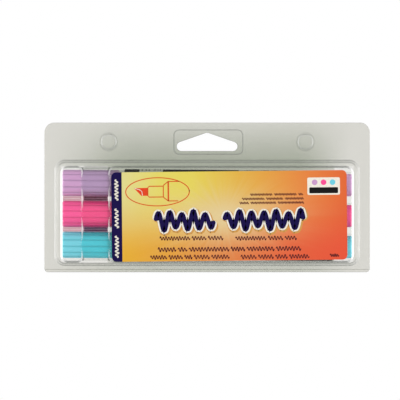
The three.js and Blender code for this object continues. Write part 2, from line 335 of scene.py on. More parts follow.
def valley_shade(s):
    """1 along the two gaps between the caps, fading to 0 beside them and a little along their middles."""
    x, _, height = pack_coordinates(s)
    from_middle = s.math("ABSOLUTE", s.minus(height, MIDDLE_HEIGHT + CAP_HEIGHT_OFFSET))
    away = s.math("ABSOLUTE", s.minus(from_middle, PITCH / 2))
    near = s.span(away, 1.5, 0.8)
    middle = s.minus(1, s.times(s.span(away, 0.45, 0), 0.3))
    left = s.span(x, CAP_WINDOW["left"] + 0.6, CAP_WINDOW["left"] + 1.4)
    right = s.span(x, LABEL_PANEL["left"] + 0.5, LABEL_PANEL["left"] - 0.5)
    return s.times(s.times(near, middle), s.times(left, right))


def clear_of_inner_buttons(s):
    """0 over the back half's buttons, whose rims don't show through the front half's, and 1 elsewhere."""
    x, _, height = pack_coordinates(s)
    across = s.minus(s.math("ABSOLUTE", x), BUTTON_OFFSET)
    up = s.minus(height, BUTTON_HEIGHT)
    squares = s.plus(s.times(across, across), s.times(up, up))
    return s.span(s.math("SQRT", squares), *INNER_BUTTON)


def blister_stretch(s, left, right):
    """1 from left to right over the height of the blister's face, in both halves, with soft edges."""
    x, _, height = pack_coordinates(s)
    inside = between(s, height, LABEL_PANEL["low"], LABEL_PANEL["high"], TINT_EDGE)
    return s.times(inside, between(s, x, left, right, TINT_EDGE))


def film_tint(s, steep, side):
    """What colour of light passes, painted shadow, shade and reflections included: steep is 1 at a bend, and
    side is 1 where it runs up the pack.
    """
    _, forward, height = pack_coordinates(s)
    in_waist = blister_stretch(s, CAP_WINDOW["right"], LABEL_PANEL["left"])
    over_caps = blister_stretch(s, CAP_WINDOW["left"], LABEL_PANEL["left"])
    over_tails = blister_stretch(s, BARREL_END, LABEL_PANEL["right"])
    # painted shadow of the pack, darkest just above the blister
    tint = s.mix(painted_shadow_share(s), FILM_LIGHT, FILM_SHADOWED)
    tint = s.mix(s.times(s.plus(over_caps, over_tails), 0.85), tint, FILM_BRIGHTENED)
    bend = s.mix(in_waist, FILM_BEND, FILM_LIGHT)
    tint = s.mix(steep, tint, s.mix(side, bend, FILM_GLINT))
    # painted shade along the top of the waist
    pipe_top = s.times(s.span(forward, *IN_LID), s.span(height, *PIPE_TOP))
    tint = s.mix(s.times(in_waist, pipe_top), tint, WAIST_TOP_SHADE)
    # painted shadow and reflection of the caps on the tray between them
    valley = s.mix(s.span(height, *UPPER_ROW), LOWER_GAP_SHADE, UPPER_GAP_SHADE)
    in_tray = s.times(valley_shade(s), s.span(forward, *reversed(IN_LID)))
    return s.mix(in_tray, tint, s.mix(in_waist, WINDOW_GAP_REFLECTION, valley))


def across_share(s):
    """1 on walls that face along X and 0 on those that face up or down."""
    nx, _, nz = s.axes(s.normal())
    nx = s.times(nx, nx)
    nz = s.times(nz, nz)
    return s.math("DIVIDE", nx, s.plus(s.plus(nx, nz), 0.001))


def film_material():
    """Clear sheet: light goes straight on with a grey-green cast, and its bends show as lines: darker with
    painted shade where they run along the pack, and white with a painted highlight where they face the side
    lamps.
    """
    s = Shader("clear film")
    x, forward, _ = pack_coordinates(s)
    facing = s.add("ShaderNodeLayerWeight")
    facing.inputs["Blend"].default_value = 0.5
    turned = facing.outputs["Facing"]
    steep = s.times(s.span(turned, 0.1, 0.8), clear_of_inner_buttons(s))
    bent = s.span(s.math("ABSOLUTE", s.axes(s.normal())[1]), 0.995, 0.93)
    outer = s.span(s.math("ABSOLUTE", x), *OUTER_WALLS)
    side = s.times(across_share(s), s.math("MAXIMUM", outer, s.span(forward, *RAISED)))
    clear = s.add("ShaderNodeBsdfTransparent")
    s.feed(clear.inputs["Color"], film_tint(s, s.times(steep, bent), side))
    mirror = s.add("ShaderNodeBsdfGlossy")
    mirror.inputs["Roughness"].default_value = 0.06
    s.feed(mirror.inputs["Normal"], s.bump(s.noise(210, 2), 0.25, 0.0001))
    # painted highlight: white on the bends that face the side lamps, in place of those lamps' reflection
    painted_highlight = s.add("ShaderNodeBsdfDiffuse")
    painted_highlight.inputs["Color"].default_value = (1, 1, 1, 1)
    edge_gloss = s.plus(s.times(side, 0.7), 0.15)
    grazing = s.times(s.math("POWER", turned, 4), edge_gloss)
    glossy = s.blend(s.plus(grazing, 0.02, clamp=True), clear, mirror)
    painted_highlight_share = s.times(s.times(steep, s.span(turned, 0.35, 0.9)), side)
    strength = s.minus(0.85, s.times(outer, 0.6))
    return s.surface(s.blend(s.times(painted_highlight_share, strength), glossy, painted_highlight).outputs[0])


PAINTED_SHADE_FADE = (-66.2, -64.2)  # where the painted shade under the waist fades in on a cap, along X in millimetres


def moulded_material(name, colour, roughness=0.32, cap=None):
    """Moulded plastic: faint clouds in its colour and a fine grain. A cap carries painted shade under the
    waist and in its grooves.
    """
    s = Shader(name)
    noise = s.noise(160, 4, stretch=(0.25, 1, 1))
    shade = clouds(s, noise, colour)
    if cap:
        # painted shade where the waist's pipes lie over the cap
        x, _, _ = pack_coordinates(s)
        shade = s.mix(s.span(x, *PAINTED_SHADE_FADE), shade, clouds(s, noise, cap["painted_shade"]))
        # painted shade in the grooves
        lines = groove_shade_lines(s, cap["row"], cap["turn"])
        shade = s.mix(s.times(lines, 0.5), shade, scaled(cap["painted_shade"], 0.55))
    gloss = s.plus(s.times(s.noise(900, 2), 0.12), roughness - 0.06)
    grain = s.bump(s.noise(2600, 3), 0.12, 0.00005)
    return s.principled(shade, gloss, grain, specular=0.2)


def clouds(s, noise, colour):
    dark = scaled(colour, 0.9)
    light = tuple(min(1, 1.06 * c + 0.01) for c in colour)
    return s.mix(noise, dark, light)


def groove_shade_lines(s, row, turn):
    """1 in the bottoms of a cap's grooves, where painted shade darkens them, from the angle round the
    marker's axis.
    """
    x, forward, height = pack_coordinates(s)
    axis_height = s.plus(s.times(x, -math.tan(TILT)), row_height(row))
    up = s.minus(axis_height, height)
    angle = s.math("ARCTAN2", up, s.plus(forward, AXIS_DEPTH))
    grooves = s.times(angle, CAP_GROOVES / (2 * math.pi))
    grooves = s.minus(grooves, CAP_GROOVES * turn / 360 - 0.5)
    off = s.math("ABSOLUTE", s.minus(s.math("FRACT", grooves), 0.5))
    return s.span(off, 0.2, 0.02)


def felt_material(name, colour):
    """Dense fibre soaked with ink: streaks along X and a rough nap."""
    s = Shader(name)
    streaks = s.noise(1500, 4, stretch=(0.08, 1, 1))
    shade = s.mix(streaks, scaled(colour, 0.35), scaled(colour, 0.8))
    nap = s.bump(streaks, 0.6, 0.0001)
    return s.principled(shade, s.plus(s.times(streaks, 0.2), 0.7), nap, sheen=0.3)


# The barrel's print along X, in millimetres, and where painted shade lies on its underside.
FIRST_BAND = (BARREL_START + BARREL_COLLAR, -35.1)
SECOND_BAND = (-23, 16.5)
FINE_MARKS = ((-35.1, -23), (18, 47))
MARK_ROWS = 1.5  # from one row of marks to the next
UNDERSIDE_SHADE = (30, 65)  # painted shade low along the bottom marker's underside, which faces down
BARREL_BLACK = (0.003, 0.005, 0.004)
BARREL_OLIVE = (0.13, 0.13, 0.07)
BARREL_WHITE = (0.74, 0.75, 0.71)


def fine_marks(s):
    """Rows of small unreadable marks, like lines of fine print."""
    _, _, height = pack_coordinates(s)
    row = s.math("FRACT", s.math("DIVIDE", height, MARK_ROWS))
    from_row = s.math("ABSOLUTE", s.minus(row, 0.5))
    in_row = s.span(from_row, 0.3, 0.22)
    return s.times(in_row, s.span(s.noise(1500, 1, stretch=(1, 0, 0.3)), 0.48, 0.53))


def barrel_material():
    """White tube with two dark bands, the second fading to olive, rows of fine marks, and painted shade low
    along the bottom marker's underside.
    """
    s = Shader("barrel print")
    x, _, height = pack_coordinates(s)
    grain = s.noise(700, 3)
    colour = s.mix(s.times(grain, 0.3), BARREL_WHITE, scaled(BARREL_WHITE, 0.8))
    marks = fine_marks(s)
    for start, end in FINE_MARKS:
        share = s.times(between(s, x, start + 1, end - 1), marks)
        colour = s.mix(s.times(share, 0.7), colour, BARREL_BLACK)
    fade = s.mix(s.span(x, 2, 16.5), BARREL_BLACK, BARREL_OLIVE)
    underside_shade = s.times(s.span(height, 7.4, 7), between(s, x, *UNDERSIDE_SHADE))
    colour = s.mix(s.times(underside_shade, 0.85), colour, BARREL_BLACK)
    for start, end in (FIRST_BAND, SECOND_BAND):
        colour = s.mix(between(s, x, start, end), colour, fade)
    gloss = s.plus(s.times(grain, 0.15), 0.3)
    return s.principled(colour, gloss, s.bump(s.noise(2400, 2), 0.08, 0.00004), specular=0.0)


def ink_material(name, colour):
    """Printed ink: dots and small density changes, with a slight shine."""
    s = Shader(name)
    colour = scaled(colour, PRINT_GAIN)
    density = s.noise(1800)
    shade = s.mix(density, scaled(colour, 0.82), tuple(min(1, 1.15 * c) for c in colour))
    gloss = s.plus(s.times(density, 0.15), 0.43)
    return s.principled(shade, gloss, s.bump(density, 0.1, 0.00002), specular=0.06)


def label_coordinates(s):
    """Positions on the sticker in millimetres from its middle, along its own edges."""
    x, _, z = s.axes(s.point())
    u = s.plus(s.times(x, 1 / MM), -LABEL_X)
    v = s.plus(s.times(z, 1 / MM), HOLE_PEAK - LABEL_MIDDLE)
    return u, s.minus(v, s.times(u, math.tan(LABEL_TURN)))


PRINT_GAIN = 0.76  # printed colours are drawn this much deeper, as the studio's light lifts them


def print_ramp(s, along, stops):
    """A run of display colours from the sticker's left end to its right."""
    return s.ramp(along, [(at, scaled(to_linear(*rgb), PRINT_GAIN)) for at, rgb in stops])


# Display colours along the sticker's top and bottom, at shares of its length.
TOP_COLOURS = [
    (0.05, (229, 221, 145)),
    (0.20, (233, 220, 106)),
    (0.34, (233, 216, 92)),
    (0.54, (232, 182, 73)),
    (0.83, (235, 135, 68)),
    (1.00, (231, 105, 56)),
]
BOTTOM_COLOURS = [
    (0.05, (234, 178, 56)),
    (0.25, (232, 162, 62)),
    (0.44, (228, 140, 74)),
    (0.75, (232, 98, 62)),
    (1.00, (236, 86, 60)),
]
GLOW_MIDDLE = (-3, -0.5)
GLOW_REACH = (30, 12.5)


def glow_and_rays(s, u, v):
    """The pale glow behind the title: an oval with rays that run out from its middle."""
    du = s.minus(u, GLOW_MIDDLE[0])
    dv = s.minus(v, GLOW_MIDDLE[1])
    rays = s.add("ShaderNodeTexNoise", noise_dimensions="1D")
    s.feed(rays.inputs["W"], s.math("ARCTAN2", dv, du))
    rays.inputs["Scale"].default_value = 7
    rays.inputs["Detail"].default_value = 5
    reach = s.plus(s.times(rays.outputs["Fac"], 1.1), 0.35)
    wide = s.math("POWER", s.math("DIVIDE", du, GLOW_REACH[0]), 2)
    tall = s.math("POWER", s.math("DIVIDE", dv, GLOW_REACH[1]), 2)
    far = s.math("DIVIDE", s.plus(wide, tall), reach)
    return s.math("EXPONENT", s.times(far, -1))


def label_material():
    """The sticker's print: yellow at the upper left to red-orange at the lower right, and a pale glow."""
    s = Shader("label print")
    u, v = label_coordinates(s)
    along = s.span(u, -LABEL_WIDTH / 2, LABEL_WIDTH / 2, False)
    top = print_ramp(s, along, TOP_COLOURS)
    bottom = print_ramp(s, along, BOTTOM_COLOURS)
    colour = s.mix(s.span(v, 15, -21), top, bottom)
    pale = scaled(to_linear(233, 212, 160), PRINT_GAIN)
    colour = s.mix(s.times(glow_and_rays(s, u, v), 0.9), colour, pale)
    fine = s.noise(1600, 3)
    colour = s.mix(s.times(fine, 0.06), colour, to_linear(150, 110, 60))
    gloss = s.plus(s.times(fine, 0.12), 0.4)
    return s.principled(colour, gloss, s.bump(s.noise(60, 3), 0.1, 0.0002), specular=0.06)


def paper_material():
    """The sticker's white back, seen through the film: short paper fibres."""
    s = Shader("label paper")
    fibres = s.noise(900, 4, stretch=(0.4, 1, 1))
    shade = s.mix(fibres, (0.66, 0.65, 0.60), (0.82, 0.81, 0.77))
    rough = s.plus(s.times(fibres, 0.2), 0.7)
    return s.principled(shade, rough, s.bump(fibres, 0.3, 0.00005))


def floor_material():
    """Plain pale paper with faint clouds."""
    s = Shader("studio floor")
    shade = s.mix(s.noise(6, 3), (0.80, 0.80, 0.80), (0.84, 0.84, 0.84))
    return s.principled(shade, 0.9)


# ---- Mesh helpers ----
def mesh_object(name, vertices, faces, matrix=None):
    """A mesh object with its faces turned outwards."""
    mesh = bpy.data.meshes.new(name)
    mesh.from_pydata(vertices, [], faces)
    if matrix:
        mesh.transform(matrix)
    bm = bmesh.new()
    bm.from_mesh(mesh)
    bmesh.ops.recalc_face_normals(bm, faces=bm.faces)
    bm.to_mesh(mesh)
    bm.free()
    obj = bpy.data.objects.new(name, mesh)
    bpy.context.scene.collection.objects.link(obj)
    return obj


def loft(rings, closed=False):
    """Vertices and faces of a solid through the rings, ended by flat faces unless it closes on itself."""
    size = len(rings[0])
    vertices = [point for ring in rings for point in ring]
    faces = []
    count = len(rings)
    for i in range(count if closed else count - 1):
        a = i * size
        b = (i + 1) % count * size
        for j in range(size):
            k = (j + 1) % size
            faces.append((a + j, a + k, b + k, b + j))
    if not closed:
        faces.append(tuple(reversed(range(size))))
        faces.append(tuple(range((count - 1) * size, count * size)))
    return vertices, faces


def arc(x, z, radius, start, end, steps):
    """Points round a corner, from one angle in degrees to another."""
    angles = [math.radians(start + (end - start) * i / steps) for i in range(steps + 1)]
    return [(x + radius * math.cos(a), z + radius * math.sin(a)) for a in angles]


def rounded_ring(outline, inset, depth, steps=10):
    """A rectangle with round corners, drawn in by inset."""
    left, right = outline["left"] + inset, outline["right"] - inset
    low, high = outline["low"] + inset, outline["high"] - inset
    top = max(outline["corner"] - inset, 0.25)
    bottom = max(outline.get("low_corner", outline["corner"]) - inset, 0.25)
    points = (
        arc(left + bottom, low + bottom, bottom, 180, 270, steps)
        + arc(right - bottom, low + bottom, bottom, 270, 360, steps)
        + arc(right - top, high - top, top, 0, 90, steps)
        + arc(left + top, high - top, top, 90, 180, steps)
    )
    return [(x, depth, z) for x, z in points]


def round_ring(x, z, radius, depth, steps=64):
    return [(px, depth, pz) for px, pz in arc(x, z, radius, 0, 360, steps)[:-1]]


def raised_profile(base, front, edge, flare, film):
    """(inset, depth) pairs from behind the flange, round the foot, up the wall and over the rim."""
    foot = flare + film
    rim = max(edge - film, 0.2)
    wall_foot = base - flare
    wall_top = front + film + rim
    lean = DRAFT * (wall_foot - wall_top)
    steps = 6
    profile = [(-flare, BEHIND)]
    for i in range(steps + 1):
        a = math.pi / 2 * i / steps
        profile.append((film - foot * (1 - math.sin(a)), base + film - foot * (1 - math.cos(a))))
    for i in range(steps + 1):
        a = math.pi / 2 * i / steps
        profile.append((film + lean + rim * (1 - math.cos(a)), front + film + rim * (1 - math.sin(a))))
    return profile


def raised(outline, base, front, edge, flare, film=0.0):
    """A formed block of the clamshell, drawn in by the film's thickness when it is the hollow behind it."""
    profile = raised_profile(base, front, edge, flare, film)
    return mesh_object("block", *loft([rounded_ring(outline, inset, depth) for inset, depth in profile]))


def raised_round(x, z, radius, base, front, edge, flare, film=0.0):
    profile = raised_profile(base, front, edge, flare, film)
    return mesh_object("button", *loft([round_ring(x, z, radius - inset, depth) for inset, depth in profile]))


def pad_block(outline, base, front, slope, film=0.0):
    """The low pad round the hang hole, with a straight sloping edge."""
    inset = -slope / 2 + 0.58 * film
    stations = ((inset, BEHIND), (inset, base + film), (inset + slope, front + film))
    return mesh_object("pad", *loft([rounded_ring(outline, inset, depth) for inset, depth in stations]))


def plate(outline, back, front):
    """A flat sheet with its cut edge rounded."""
    half = (back - front) / 2
    rings = []
    for share in (1, 0.7, 0, -0.7, -1):
        inset = RIM * (1 - math.sqrt(1 - share**2))
        rings.append(rounded_ring(outline, inset, back - half * (1 - share)))
    return mesh_object("plate", *loft(rings))


def rod(radius, left, right, depth, height, steps=96):
    rings = [
        [(x, depth + a, height + b) for a, b in arc(0, 0, radius, 0, 360, steps)[:-1]]
        for x in (left, right)
    ]
    return mesh_object("rod", *loft(rings))


def cutting_box(front, back):
    """A box wider and taller than the pack, from one depth to another."""
    ring = [(-100, -10), (100, -10), (100, 100), (-100, 100)]
    return mesh_object("box", *loft([[(x, depth, z) for x, z in ring] for depth in (back, front)]))


def combined(body, *steps):
    """The body with each (operation, tools) done in turn, as one mesh. The tools are used up."""
    used = []
    for operation, tools in steps:
        for tool in tools:
            change = body.modifiers.new("combine", "BOOLEAN")
            change.operation = operation
            change.solver = "MANIFOLD"
            change.object = tool
            used.append(tool)
    graph = bpy.context.evaluated_depsgraph_get()
    mesh = bpy.data.meshes.new_from_object(body.evaluated_get(graph))
    body.modifiers.clear()
    body.data = mesh
    for tool in used:
        bpy.data.objects.remove(tool)
    return body


def finish_film(obj, name, material):
    """Joins flat stretches, moves the mesh into the frame and shades its bends smoothly."""
    mesh = obj.data
    bm = bmesh.new()
    bm.from_mesh(mesh)
    bmesh.ops.remove_doubles(bm, verts=bm.verts, dist=0.001)
    bmesh.ops.dissolve_limit(bm, angle_limit=math.radians(0.4), verts=bm.verts, edges=bm.edges)
    bm.to_mesh(mesh)
    bm.free()
    mesh.transform(TO_FRAME)
    obj.name = name
    smooth(obj, material, 38)
    even = obj.modifiers.new("even shading", "WEIGHTED_NORMAL")
    even.keep_sharp = True


def smooth(obj, material, sharp_degrees=35):
    obj.data.materials.clear()
    obj.data.materials.append(material)
    obj.data.shade_smooth()
    obj.data.set_sharp_from_angle(angle=math.radians(sharp_degrees))


def dress(obj, body, slot, *nodes):
    """Makes a piece ride on its body and hides the CAD nodes that it stands for. The slot is not used."""
    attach(obj, body)
    if nodes:
        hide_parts(*nodes)


def row_height(row):
    return MIDDLE_HEIGHT + row * PITCH


# ---- Clamshell ----
def hole_ring(grow, depth):
    """The hole's outline: straight slopes, tangent to the two end rounds and to the rounded peak."""
    end_x = HOLE_HALF_WIDTH - HOLE_END_RADIUS
    end_z = HOLE_LOW + HOLE_END_RADIUS
    peak_z = HOLE_PEAK - HOLE_PEAK_RADIUS
    rise = math.atan2(peak_z - end_z, end_x)
    spread = math.asin((HOLE_PEAK_RADIUS - HOLE_END_RADIUS) / math.hypot(end_x, peak_z - end_z))
    lean = math.degrees(rise + spread)
    points = (
        arc(-end_x, end_z, HOLE_END_RADIUS + grow, 270, 90 + lean, 12)
        + arc(0, peak_z, HOLE_PEAK_RADIUS + grow, 90 + lean, 90 - lean, 12)
        + arc(end_x, end_z, HOLE_END_RADIUS + grow, 90 - lean, -90, 12)
    )
    return [(x, depth, z) for x, z in points]


def hang_hole(front):
    """A cutter for the sheet whose front face is at the given depth, leaving a rounded edge."""
    back = front + FILM
    stations = ((-BEHIND, RIM), (front, RIM), ((front + back) / 2, 0), (back, RIM), (BEHIND, RIM))
    return mesh_object("hole", *loft([hole_ring(grow, depth) for depth, grow in stations]))


def button_shapes(seat, grow, film=0.0):
    """The two snap buttons, each a low collar with a dome on it, larger by grow."""
    front = seat - FILM
    collar_front = front - COLLAR_RISE - grow
    dome_front = front - BUTTON_RISE - grow
    shapes = []
    for x in (-BUTTON_OFFSET, BUTTON_OFFSET):
        collar = raised_round(x, BUTTON_HEIGHT, COLLAR_RADIUS + grow, front, collar_front, 0.3, 0.2, film)
        dome = raised_round(x, BUTTON_HEIGHT, BUTTON_RADIUS + grow, front, dome_front, 0.9, 0.3, film)
        shapes += [collar, dome]
    return shapes


def waist(film=0.0):
    """Half pipes over the three caps, with hollow curves between them."""
    pipe = PIPE_RADIUS - film
    valley = VALLEY_RADIUS + film
    lean = math.degrees(math.asin(PITCH / 2 / (pipe + valley)))
    valley_depth = AXIS_DEPTH - (pipe + valley) * math.cos(math.radians(lean))
    section = []
    for row in (-1, 0, 1):
        height = row_height(row) + CAP_HEIGHT_OFFSET
        start = 90 - WAIST_DRAFT if row == -1 else lean
        end = 90 - WAIST_DRAFT if row == 1 else lean
        section += [(AXIS_DEPTH - c, height + s) for c, s in arc(0, 0, pipe, -start, end, 20)]
        if row < 1:
            middle = height + PITCH / 2
            section += [(valley_depth + c, middle + s) for c, s in arc(0, 0, valley, -lean, lean, 10)][1:-1]
    spread = (BEHIND - section[0][0]) * math.tan(math.radians(WAIST_DRAFT))
    section = [(BEHIND, section[0][1] - spread), *section, (BEHIND, section[-1][1] + spread)]
    ends = (WAIST_LEFT + film, WAIST_RIGHT - film)
    return mesh_object("waist", *loft([[(x, depth, height) for depth, height in section] for x in ends]))


def blister_shapes(film=0.0):
    """Every raised shape of the front half, or the hollows behind them."""
    flange_front = FRONT_SEAT - FILM
    return [
        raised(STEP, flange_front, STEP_FRONT, 0.8, 0.4, film),
        raised(CAP_WINDOW, STEP_FRONT, PANEL_FRONT, 1.4, 0.5, film),
        raised(LABEL_PANEL, STEP_FRONT, PANEL_FRONT, 1.4, 0.5, film),
        waist(film),
        pad_block(HOLE_PAD, flange_front, flange_front - PAD_RISE, 0.38, film),
        *button_shapes(FRONT_SEAT, 0, film),
    ]


def front_shell(material):
    body, *shapes = blister_shapes()
    obj = combined(
        body,
        ("UNION", shapes),
        ("DIFFERENCE", [cutting_box(FRONT_SEAT, 2 * BEHIND)]),
        ("UNION", [plate(FLANGE, FRONT_SEAT, FRONT_SEAT - FILM)]),
        ("DIFFERENCE", blister_shapes(FILM)),
        ("DIFFERENCE", [hang_hole(FRONT_SEAT - FILM - PAD_RISE)]),
    )
    finish_film(obj, "front_film", material)
    dress(obj, "front_shell", "clear_film", "front_shell")


def cradles(grow=0.0):
    reach = CRADLE_HALF_LENGTH + grow
    return [rod(CRADLE_RADIUS + grow, -reach, reach, CRADLE_DEPTH, row_height(row)) for row in (1, 0, -1)]


def back_shell(material):
    nest = FILM + GAP
    seat = BACK_SEAT  # the back flange's front face
    pad_front = FRONT_SEAT - PAD_RISE + GAP
    pad = dict(HOLE_PAD, left=HOLE_PAD["left"] + nest, right=HOLE_PAD["right"] - nest)
    pad.update(low=HOLE_PAD["low"] + nest, high=HOLE_PAD["high"] - nest)
    tray_hollow = raised(PLATFORM, seat, PLATFORM_FRONT, 1.1, 0.6, FILM)
    hollow = combined(tray_hollow, ("DIFFERENCE", cradles(FILM)))
    obj = combined(
        raised(PLATFORM, seat, PLATFORM_FRONT, 1.1, 0.6),
        ("DIFFERENCE", cradles()),
        ("UNION", [pad_block(pad, seat, pad_front, 1), *button_shapes(FRONT_SEAT, -nest - 0.1)]),
        ("DIFFERENCE", [cutting_box(BACK_REAR, 2 * BEHIND)]),
        ("UNION", [plate(FLANGE, BACK_REAR, BACK_SEAT)]),
        ("DIFFERENCE", [hollow, pad_block(pad, seat, pad_front, 1, FILM)]),
        ("DIFFERENCE", button_shapes(FRONT_SEAT, -nest - 0.1, FILM)),
        ("DIFFERENCE", [hang_hole(pad_front)]),
    )
    finish_film(obj, "back_film", material)
    dress(obj, "back_shell", "clear_film", "back_shell")


def fold(material):
    """The U-shaped bend that joins the two flanges."""
    steps = 12
    outer = arc(0, FOLD_HEIGHT, FOLD_RADIUS, 180, 360, steps)
    inner = arc(0, FOLD_HEIGHT, FOLD_RADIUS - FOLD_FILM, 360, 180, steps)
    top = FLANGE["low"] + RIM
    section = [(-FOLD_RADIUS, top), *outer, (FOLD_RADIUS, top), (FOLD_RADIUS - FOLD_FILM, top), *inner]
    section.append((-FOLD_RADIUS + FOLD_FILM, top))
    columns = 40
    rings = []
    for i in range(columns + 1):
        share = 2 * i / columns - 1
        rings.append([(share * fold_reach(z), y, z) for y, z in section])
    obj = mesh_object("fold_film", *loft(rings), matrix=TO_FRAME)
    smooth(obj, material)
    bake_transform(obj)
    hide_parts("living_hinge")


def fold_reach(height):
    """Half the fold's length at a height: its ends round off to meet the flange's edges."""
    drop = max(FOLD_CORNER - height, 0)
    return FLANGE["right"] - FOLD_CORNER + math.sqrt(FOLD_CORNER**2 - drop**2)


# ---- Markers ----
def marker_matrix(name):
    """Places a marker drawn along X, from the CAD's own axis for its cap."""
    joint = next(j for j in frame["joints"] if j["name"] == f"{name}_cap_twist")
    turn = Vector((1, 0, 0)).rotation_difference(Vector(joint["axis"]))
    return Matrix.Translation(joint["pos_m"]) @ turn.to_matrix().to_4x4() @ Matrix.Scale(MM, 4)


def turned_rings(profile, steps=96):
    """Rings about X through (position, radius) pairs."""
    return [
        [(x, -radius * c, radius * s) for c, s in arc(0, 0, 1, 0, 360, steps)[:-1]]
        for x, radius in profile
    ]


def grooved_ring(x, radius, depth, turn):
    """A ring about X with the cap's grooves pressed into it, the first one turned down from the front."""
    per_groove = 12
    count = CAP_GROOVES * per_groove
    half_width = 0.13  # of the pitch from one groove to the next
    ring = []
    for i in range(count):
        offset = i / per_groove - round(i / per_groove)
        pressed = radius - depth * math.exp(-((offset / half_width) ** 2))
        angle = math.radians(turn + 360 * i / count)
        ring.append((x, -pressed * math.cos(angle), -pressed * math.sin(angle)))
    return ring


def cap(name, turn, material):
    closed = -HALF_LENGTH
    mouth = closed + CAP_LENGTH
    fillet = 1.2
    rings = [grooved_ring(closed + 0.35, 0.4, 0, turn), grooved_ring(closed + 0.35, 4.9, 0, turn)]
    rings.append(grooved_ring(closed + 0.02, 5.3, 0, turn))
    for i in range(7):
        a = math.pi / 2 * i / 6
        radius = CAP_RADIUS - fillet * (1 - math.sin(a))
        rings.append(grooved_ring(closed + fillet * (1 - math.cos(a)), radius, GROOVE_DEPTH * i / 6, turn))
    for along in (3, 8, 14, 20, 25, CAP_LENGTH - 1.6):
        rings.append(grooved_ring(closed + along, CAP_RADIUS, GROOVE_DEPTH, turn))
    rings.append(grooved_ring(mouth - 0.9, CAP_RADIUS, 0.3 * GROOVE_DEPTH, turn))
    plain = [
        (mouth - 0.5, CAP_RADIUS),
        (mouth - 0.15, CAP_RADIUS - 0.1),
        (mouth, CAP_RADIUS - 0.3),
        (mouth, CAP_BORE + 0.3),
        (mouth - 0.3, CAP_BORE),
        (closed + CAP_WALL, CAP_BORE),
        (closed + CAP_WALL, 0.4),
    ]
    rings += [grooved_ring(along, radius, 0, turn) for along, radius in plain]
    obj = mesh_object(f"{name}_ribbed_cap", *loft(rings), matrix=marker_matrix(name))
    smooth(obj, material, 50)
    dress(obj, f"{name}_cap", f"{name}_plastic", f"{name}_cap")


def barrel(name, material):
    start, end = BARREL_START, BARREL_END
    collar = COLLAR_RADIUS_OF_BARREL
    shoulder = start + BARREL_COLLAR
    profile = [
        (start, BARREL_BORE),
        (start, collar - 0.25),
        (start + 0.12, collar - 0.08),
        (start + 0.35, collar),
        (shoulder - 0.1, collar),
        (shoulder, collar + 0.08),
        (shoulder + 0.15, BARREL_RADIUS - 0.12),
        (shoulder + 0.5, BARREL_RADIUS),
        *[(shoulder + 0.5 + (end - shoulder - 1) * i / 12, BARREL_RADIUS) for i in range(1, 13)],
        (end - 0.4, BARREL_RADIUS - 0.08),
        (end - 0.12, BARREL_RADIUS - 0.3),
        (end, BARREL_RADIUS - 0.6),
        (end, BARREL_BORE),
    ]
    shape = loft(turned_rings(profile), closed=True)
    obj = mesh_object(f"{name}_printed_barrel", *shape, matrix=marker_matrix(name))
    smooth(obj, material)
    dress(obj, f"{name}_marker", "barrel_plastic", f"{name}_barrel")


def tail_plug(name, material):
    end = HALF_LENGTH
    edge = 1.0
    rim = [
        (end - edge * (1 - math.sin(a)), TAIL_RADIUS - edge * (1 - math.cos(a)))
        for a in [math.pi / 2 * i / 6 for i in range(7)]
    ]
    profile = [
        (TAIL_START - TAIL_INSIDE, 0.3),
        (TAIL_START - TAIL_INSIDE, TAIL_SPIGOT - 0.5),
        (TAIL_START - TAIL_INSIDE + 0.5, TAIL_SPIGOT),
        (TAIL_START, TAIL_SPIGOT),
        (TAIL_START, TAIL_RADIUS - 0.15),
        (TAIL_START + 0.15, TAIL_RADIUS),
        (TAIL_START + 4, TAIL_RADIUS),
        *rim,
        (end, 3.6),
        (end - 0.35, 3.3),
        (end - 0.35, 0.3),
    ]
    obj = mesh_object(f"{name}_tail", *loft(turned_rings(profile)), matrix=marker_matrix(name))
    smooth(obj, material, 50)
    dress(obj, f"{name}_marker", f"{name}_plastic", f"{name}_tail_plug")


def inner_parts(name, felt, white, liner):
    """The pieces inside a marker keep their CAD shapes."""
    materials = {"nib": felt, "ink_reservoir": felt, "nib_holder": white, "cap_liner": liner}
    for part, material in materials.items():
        node = frame["nodes"][f"{name}_{part}"]
        node.data.materials.clear()
        node.data.materials.append(material)


# ---- Sticker ----
LABEL_MATRIX = (
    TO_FRAME
    @ Matrix.Translation((LABEL_X, LABEL_BACK, LABEL_MIDDLE))
    @ Matrix.Rotation(-LABEL_TURN, 4, "Y")
)


def label_sheet(front, back):
    half_x, half_z = LABEL_WIDTH / 2, LABEL_HEIGHT / 2
    outline = dict(left=-half_x, right=half_x, low=-half_z, high=half_z, corner=LABEL_CORNER)
    edge = 0.03
    stations = ((0, 0), (0, -LABEL_THICKNESS + edge), (edge, -LABEL_THICKNESS))
    rings = [rounded_ring(outline, inset, depth) for inset, depth in stations]
    obj = mesh_object("sticker", *loft(rings), matrix=LABEL_MATRIX)
    smooth(obj, front)
    obj.data.materials.append(back)
    for face in obj.data.polygons:
        if face.normal.y > 0.5:
            face.material_index = 1
    dress(obj, "front_shell", "label_stock", "front_label")


def ink_depths(layer):
    """The back and front of a printed layer."""
    front = -LABEL_THICKNESS - INK_STEP * layer
    return front + 0.75 * INK_STEP, front


def ink_piece(name, solids, material):
    """One piece made of thin solids of ink, each given as its rings."""
    vertices = []
    faces = []
    for rings in solids:
        points, sides = loft(rings)
        faces += [tuple(i + len(vertices) for i in face) for face in sides]
        vertices += points
    obj = mesh_object(name, vertices, faces, matrix=LABEL_MATRIX)
    obj.data.materials.append(material)
    dress(obj, "front_shell", "label_stock")


def printed(name, outlines, layer, material):
    """Flat ink shapes on the sticker, each an outline of (u, v) points in millimetres from its middle."""
    depths = ink_depths(layer)
    solids = [[[(u, depth, v) for u, v in outline] for depth in depths] for outline in outlines]
    ink_piece(name, solids, material)


